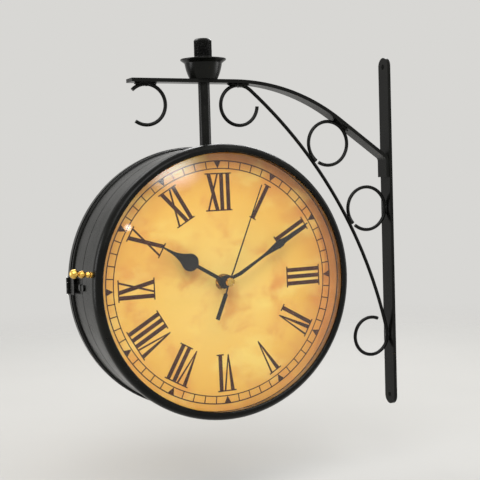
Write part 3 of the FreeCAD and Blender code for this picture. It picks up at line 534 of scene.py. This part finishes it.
def merged(bm_parts, name):
    """Two bmeshes of closed plates as one mesh whose overlapping plates are united."""
    things = []
    for bm in bm_parts:
        things.append(bpy.data.objects.new(name + "_part", mesh_from(bm, name)))
    first, second = things
    for thing in things:
        bpy.context.scene.collection.objects.link(thing)
    union = first.modifiers.new("union", "BOOLEAN")
    union.operation = "UNION"
    union.solver = "EXACT"
    union.use_self = True
    union.object = second
    bpy.context.view_layer.update()
    united = first.evaluated_get(bpy.context.evaluated_depsgraph_get())
    result = bpy.data.meshes.new_from_object(united)
    result.name = name
    result.materials.clear()
    for thing in things:
        bpy.data.objects.remove(thing)
    return result


def dial_print(side, facing, ink):
    """Roman numerals and a minute track, printed on one dial's paper."""
    low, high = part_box(side + "_dial_paper")
    centre = (low + high) / 2
    surface = low.y if facing < 0 else high.y

    def place(x, y, height):
        x, y = x + PRINT_OFF_CENTRE[0], y + PRINT_OFF_CENTRE[1]
        return Vector((centre.x - facing * x, surface + facing * height, centre.z + y))

    strokes, lines = bmesh.new(), bmesh.new()
    for hour, numeral in enumerate(NUMERALS):
        angle = PRINT_TURN + math.tau * hour / 12
        for outline in numeral_strokes(numeral):
            stroke = anticlockwise(turned_outline(outline, angle))
            prism(strokes, stroke, -PRINT_SINK, PRINT_RISE, place)
    for radius, line in ((TRACK_INNER, TRACK_INNER_LINE), (TRACK_OUTER, TRACK_OUTER_LINE)):
        ring_band(lines, radius, line, -PRINT_SINK, PRINT_RISE, place)
    for minute in range(60):
        angle = PRINT_TURN + math.tau * minute / 60
        mark = [(-TICK_LINE / 2, TRACK_INNER), (TICK_LINE / 2, TRACK_INNER),
                (TICK_LINE / 2, TRACK_OUTER), (-TICK_LINE / 2, TRACK_OUTER)]
        if minute % 5 == 0:
            mark = [(0, TRACK_INNER), (HOUR_MARK_HALF, TRACK_OUTER), (-HOUR_MARK_HALF, TRACK_OUTER)]
        tick = anticlockwise(turned_outline(mark, angle))
        prism(lines, tick, -PRINT_SINK, PRINT_RISE, place)
    mesh = merged([strokes, lines], side + "_dial_print")
    piece(side + "_dial_print", mesh, ink, "drum")


def lathe(bm, profile, centre, steps, bulge=None):
    """A closed shape turned about a vertical axis, on which its (radius, height) pairs start and
    end; bulge adds to the radius at an angle and height."""
    rings = []
    for radius, height in profile:
        if radius == 0:
            rings.append([bm.verts.new(centre + Vector((0, 0, height)))])
            continue
        ring = []
        for i in range(steps):
            angle = math.tau * i / steps
            reach = radius + (bulge(angle, radius, height) if bulge else 0)
            corner = Vector((reach * math.cos(angle), reach * math.sin(angle), height))
            ring.append(bm.verts.new(centre + corner))
        rings.append(ring)
    for ring, following in zip(rings, rings[1:]):
        for i in range(steps):
            j = (i + 1) % steps
            corners = [ring[i % len(ring)], ring[j % len(ring)],
                       following[j % len(following)], following[i % len(following)]]
            bm.faces.new(list(dict.fromkeys(corners)))


def hub_cap(side, facing, metal):
    """A domed brass cap over the middle of the second hand."""
    low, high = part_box(side + "_dial_paper")
    centre = (low + high) / 2
    centre.y = low.y if facing < 0 else high.y
    rim = CAP_CROWN - CAP_DOME
    profile = [(0, CAP_FOOT), (CAP_RADIUS - CAP_CHAMFER, CAP_FOOT),
               (CAP_RADIUS, CAP_FOOT + CAP_CHAMFER), (CAP_RADIUS, rim)]
    profile += [(CAP_RADIUS - inwards, rim + upwards) for inwards, upwards in CAP_SHOULDER]
    profile += [(CAP_RADIUS * 0.4, CAP_CROWN - 0.02 * MM), (0, CAP_CROWN)]
    bm = bmesh.new()
    lathe(bm, profile, Vector(), 48)
    turn = Matrix.Rotation(-facing * math.pi / 2, 4, "X")
    bmesh.ops.transform(bm, matrix=Matrix.Translation(centre) @ turn, verts=bm.verts)
    mesh = mesh_from(bm, side + "_hub_cap")
    mesh.shade_smooth()
    mesh.set_sharp_from_angle(angle=CAP_SHARP)
    piece(side + "_hub_cap", mesh, metal, side + "_second")


def knurled_nut(paint):
    """The clamp nut above the cup, with a diamond knurl cut into its head."""
    low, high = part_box("clamp_nut")
    centre = Vector(((low.x + high.x) / 2, (low.y + high.y) / 2, low.z))
    head = (high.y - low.y) / 2
    neck, top = NUT_SHANK_HEIGHT, high.z - low.z
    knurl_low = neck + KNURL_ABOVE_NECK
    knurl_high = top - NUT_CHAMFER - KNURL_BELOW_CHAMFER

    def groove(angle, radius, height):
        if radius < head * 0.999 or not knurl_low <= height <= knurl_high:
            return 0
        fade = min(1, (height - knurl_low) / KNURL_FADE, (knurl_high - height) / KNURL_FADE)
        climb = height / (KNURL_COUNT * KNURL_PITCH)
        cuts = [abs((KNURL_COUNT * (angle / math.tau + hand * climb)) % 1 - 0.5)
                for hand in (1, -1)]
        ridge = min(1, KNURL_FLANK * min(cuts))
        return -KNURL_DEPTH * (1 - ridge) * fade

    profile = [(0, 0), (NUT_SHANK_RADIUS - NUT_FOOT_CHAMFER, 0),
               (NUT_SHANK_RADIUS, NUT_FOOT_CHAMFER), (NUT_SHANK_RADIUS, neck),
               (head - NUT_FOOT_CHAMFER, neck), (head, neck + NUT_FOOT_CHAMFER)]
    profile += [(head, knurl_low + (knurl_high - knurl_low) * i / KNURL_ROWS)
                for i in range(KNURL_ROWS + 1)]
    profile += [(head, top - NUT_CHAMFER), (head - 0.5 * NUT_CHAMFER, top - 0.35 * NUT_CHAMFER),
                (head - NUT_CHAMFER, top), (head * 0.4, top - NUT_DISH), (0, top - NUT_DISH)]
    bm = bmesh.new()
    lathe(bm, profile, centre, KNURL_STEPS, groove)
    mesh = mesh_from(bm, "knurled_clamp_nut")
    mesh.shade_smooth()
    mesh.set_sharp_from_angle(angle=NUT_SHARP)
    nut = piece("knurled_clamp_nut", mesh, paint, "clamp_nut")
    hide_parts("clamp_nut")


def weld_bead(bm, centre, along, across, length, width, height, seed):
    """A short rippled bead of weld metal, lying half in the crevice between two bars."""
    rings, sides = 26, 14
    up = along.cross(across)
    loops = []
    for i in range(1, rings):
        t = 2 * i / rings - 1
        ripple = 1 + 0.1 * math.cos(t * length / BEAD_RIPPLE * math.pi)
        swell = math.sqrt(1 - t * t) * ripple
        loop = []
        for j in range(sides):
            angle = math.tau * j / sides
            point = along * (t * length / 2) + across * (math.cos(angle) * width / 2 * swell)
            point += up * (math.sin(angle) * height / 2 * swell)
            rough = noise.noise(point / MM * 0.55 + Vector((seed * 7.3, 0, 0)))
            loop.append(bm.verts.new(centre + point * (1 + 0.28 * rough)))
        loops.append(loop)
    for loop, following in zip(loops, loops[1:]):
        for j in range(sides):
            k = (j + 1) % sides
            bm.faces.new((loop[j], loop[k], following[k], following[j]))
    for loop, end in ((loops[0], -1), (loops[-1], 1)):
        tip = bm.verts.new(centre + along * (end * length / 2))
        for j in range(sides):
            bm.faces.new((loop[j], loop[(j + 1) % sides], tip))


def weld_beads(paint):
    """Weld metal where rings, curls and strips of the bracket meet; the pads under the arm are made
    oversized, so their black is partly weld fill and partly painted shade.
    """
    dial_low, dial_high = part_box("front_dial_paper")
    dial = (dial_low + dial_high) / 2
    arm_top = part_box("top_arm")[1].z
    arm_centre = Vector((dial.x + ARM_CENTRE_X, 0, arm_top - ARM_CENTRE_DROP))
    bow = Vector((dial.x + BOW_CENTRE[0], 0, dial.z + BOW_CENTRE[1]))
    bar_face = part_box("wall_bar")[0].x
    under_arm = arm_top - ARM_THICK - PAD_STAND
    scroll_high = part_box("arm_end_scroll")[1]
    # pads: weld fill made larger than the weld, so that their black also paints the shade in the
    # crevice under the arm
    weld_and_shade_pads = [(Vector((scroll_high.x - SCROLL_TO_WELD, 0, under_arm)), Vector((0, 0, 1))),
            (Vector((dial.x + CURL_FROM_STEM, 0, under_arm)), Vector((0, 0, 1)))]
    at_bar = Vector((bar_face - BEAD_IN_BAR, 0, dial.z - CURL_DROP))
    beads = [(at_bar, Vector((1, 0, 0)), BEAD_AT_BAR)]
    for ring in ("upper_ring", "lower_ring"):
        low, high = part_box(ring)
        centre = Vector(((low.x + high.x) / 2, 0, (low.z + high.z) / 2))
        radius = (high.x - low.x) / 2
        to_bow = (bow - centre).normalized()
        beads.append((centre + to_bow * (radius - BEAD_IN_RING), to_bow, BEAD_AT_RING))
        if ring == "upper_ring":
            away = (centre - arm_centre).normalized()
            weld_and_shade_pads.append((centre + away * (radius + PAD_STAND), away))
        else:
            at_bar = centre + Vector((radius - BEAD_IN_BAR, 0, 0))
            beads.append((at_bar, Vector((1, 0, 0)), BEAD_AT_BAR))
    bm = bmesh.new()
    across = Vector((0, 1, 0))
    for seed, (spot, outward) in enumerate(weld_and_shade_pads):
        weld_bead(bm, spot, outward.cross(across), across, PAD_LENGTH, PAD_WIDTH, PAD_HEIGHT, seed)
    for seed, (spot, outward, length) in enumerate(beads):
        for side in (-1, 1):
            beside = spot + across * (side * ROD_RADIUS * BEAD_SPREAD)
            weld_bead(bm, beside, outward.cross(across), across, length, BEAD_WIDTH, BEAD_HEIGHT,
                      seed * 2 + side)
    mesh = mesh_from(bm, "weld_beads")
    mesh.shade_smooth()
    piece("weld_beads", mesh, paint, "bracket")


# ---- stage ----

def camera():
    """The photograph's view: left of the dial's axis, slightly from above, a little rolled."""
    sine, cosine = math.sin(CAMERA_AZIMUTH), math.cos(CAMERA_AZIMUTH)
    level = math.cos(CAMERA_DOWN)
    forward = Vector((-sine * level, cosine * level, -math.sin(CAMERA_DOWN)))
    right = forward.cross(Vector((0, 0, 1))).normalized()
    up = right.cross(forward)
    rolled_right = right * math.cos(CAMERA_ROLL) + up * math.sin(CAMERA_ROLL)
    rolled_up = up * math.cos(CAMERA_ROLL) - right * math.sin(CAMERA_ROLL)
    lens = bpy.data.cameras.new("camera")
    lens.lens = CAMERA_LENS
    lens.sensor_width = 36
    lens.clip_start = 0.01
    holder = bpy.data.objects.new("camera", lens)
    axes = Matrix((rolled_right, rolled_up, -forward)).transposed().to_4x4()
    holder.matrix_world = Matrix.Translation(CAMERA_SPOT) @ axes
    bpy.context.scene.collection.objects.link(holder)
    bpy.context.scene.camera = holder


def faded(lamp):
    """Lets an area lamp's light die away from its middle to its edges."""
    lamp.use_nodes = True
    tree = lamp.node_tree
    across = tree.nodes.new("ShaderNodeNewGeometry")
    offset = tree.nodes.new("ShaderNodeVectorMath")
    offset.operation = "SUBTRACT"
    offset.inputs[1].default_value = (0.5, 0.5, 0)
    length = tree.nodes.new("ShaderNodeVectorMath")
    length.operation = "LENGTH"
    fade = tree.nodes.new("ShaderNodeMapRange")
    fade.interpolation_type = "SMOOTHSTEP"
    fade.inputs["From Max"].default_value = 0.5
    fade.inputs["To Min"].default_value = 1
    fade.inputs["To Max"].default_value = 0
    tree.links.new(across.outputs["Parametric"], offset.inputs[0])
    tree.links.new(offset.outputs["Vector"], length.inputs[0])
    tree.links.new(length.outputs["Value"], fade.inputs["Value"])
    tree.links.new(fade.outputs["Result"], tree.nodes["Emission"].inputs["Strength"])


def softbox(name, spot, target, size, power, soft=False):
    """A rectangular lamp that faces the target, with soft edges where asked."""
    lamp = bpy.data.lights.new(name, "AREA")
    if soft:
        faded(lamp)
    lamp.shape = "RECTANGLE"
    lamp.size, lamp.size_y = size
    lamp.energy = power
    holder = bpy.data.objects.new(name, lamp)
    holder.location = spot
    holder.rotation_euler = (Vector(target) - Vector(spot)).to_track_quat("-Z", "Y").to_euler()
    bpy.context.scene.collection.objects.link(holder)


def floor(low):
    """A pale floor below the clock that fades into the pale surroundings."""
    bm = bmesh.new()
    bmesh.ops.create_circle(bm, cap_ends=True, segments=96, radius=FLOOR_RADIUS)
    mesh = bpy.data.meshes.new("floor")
    bm.to_mesh(mesh)
    bm.free()
    thing = bpy.data.objects.new("floor", mesh)
    thing.location = (STAGE_MIDDLE[0], STAGE_MIDDLE[1], low - FLOOR_DROP)
    bpy.context.scene.collection.objects.link(thing)
    finish = Finish("floor")
    cloudy = finish.noise(6, detail=3)
    finish.set(Base_Color=finish.blend(cloudy, srgb(186, 185, 182), srgb(190, 189, 186)),
               Roughness=0.9)
    length = finish.add("ShaderNodeVectorMath", operation="LENGTH")
    finish.join(finish.place, length.inputs[0])
    fade = finish.spread(length.outputs["Value"], FLOOR_RADIUS * 0.35, FLOOR_RADIUS * 0.95)
    clear = finish.add("ShaderNodeBsdfTransparent")
    mix = finish.add("ShaderNodeMixShader")
    finish.join(fade, mix.inputs["Fac"])
    finish.join(finish.shader.outputs["BSDF"], mix.inputs[1])
    finish.join(clear.outputs["BSDF"], mix.inputs[2])
    finish.join(mix.outputs["Shader"], finish.output.inputs["Surface"])
    mesh.materials.append(finish.material)


def world():
    """Pale surroundings to the eye and in reflections, and a soft even fill for surfaces."""
    surroundings = bpy.data.worlds.new("surroundings")
    surroundings.use_nodes = True
    tree = surroundings.node_tree
    background = tree.nodes["Background"]
    background.inputs["Color"].default_value = srgb(*BACKDROP)
    background.inputs["Strength"].default_value = FILL_STRENGTH
    seen = tree.nodes.new("ShaderNodeBackground")
    seen.inputs["Color"].default_value = srgb(*BACKDROP)
    seen.inputs["Strength"].default_value = 1.0
    path = tree.nodes.new("ShaderNodeLightPath")
    gloss_or_glass = tree.nodes.new("ShaderNodeMath")
    gloss_or_glass.operation = "MAXIMUM"
    tree.links.new(path.outputs["Is Glossy Ray"], gloss_or_glass.inputs[0])
    tree.links.new(path.outputs["Is Transmission Ray"], gloss_or_glass.inputs[1])
    looking = tree.nodes.new("ShaderNodeMath")
    looking.operation = "MAXIMUM"
    tree.links.new(path.outputs["Is Camera Ray"], looking.inputs[0])
    tree.links.new(gloss_or_glass.outputs[0], looking.inputs[1])
    mix = tree.nodes.new("ShaderNodeMixShader")
    tree.links.new(looking.outputs[0], mix.inputs["Fac"])
    tree.links.new(background.outputs["Background"], mix.inputs[1])
    tree.links.new(seen.outputs["Background"], mix.inputs[2])
    tree.links.new(mix.outputs["Shader"], tree.nodes["World Output"].inputs["Surface"])
    bpy.context.scene.world = surroundings


def stage(low):
    """Camera, surroundings, floor and lamps."""
    camera()
    world()
    floor(low)
    for turn in (1, -1):
        for name, (x, y, z), size, power in PAIRED_LAMPS:
            softbox(name, (STAGE_MIDDLE[0] + turn * x, turn * y, z), STAGE_MIDDLE, size, power)
    for name, spot, size, power in GLASS_LAMPS:
        softbox(name, spot, STAGE_MIDDLE, size, power, soft=True)


# ---- the part ----

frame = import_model()
cad_low, cad_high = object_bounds()

slots = finishes()
paper_centre = (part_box("front_dial_paper")[0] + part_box("front_dial_paper")[1]) / 2
papers = {side: dial_paper(side + "_dial_paper", paper_centre, facing)
          for side, facing in SIDES.items()}
for name, node in frame["nodes"].items():
    slot = node.data.materials[0].name.split(".")[0]
    node.data.materials[0] = papers[name.split("_")[0]] if slot == "dial_paper" else slots[slot]

ink = dial_ink()
for side, facing in SIDES.items():
    dial_print(side, facing, ink)
    hub_cap(side, facing, slots["brass"])
knurled_nut(slots["black_gloss_iron"])
weld_beads(slots["black_gloss_iron"])
stage(cad_low.z)

bpy.context.scene.view_settings.view_transform = "Standard"
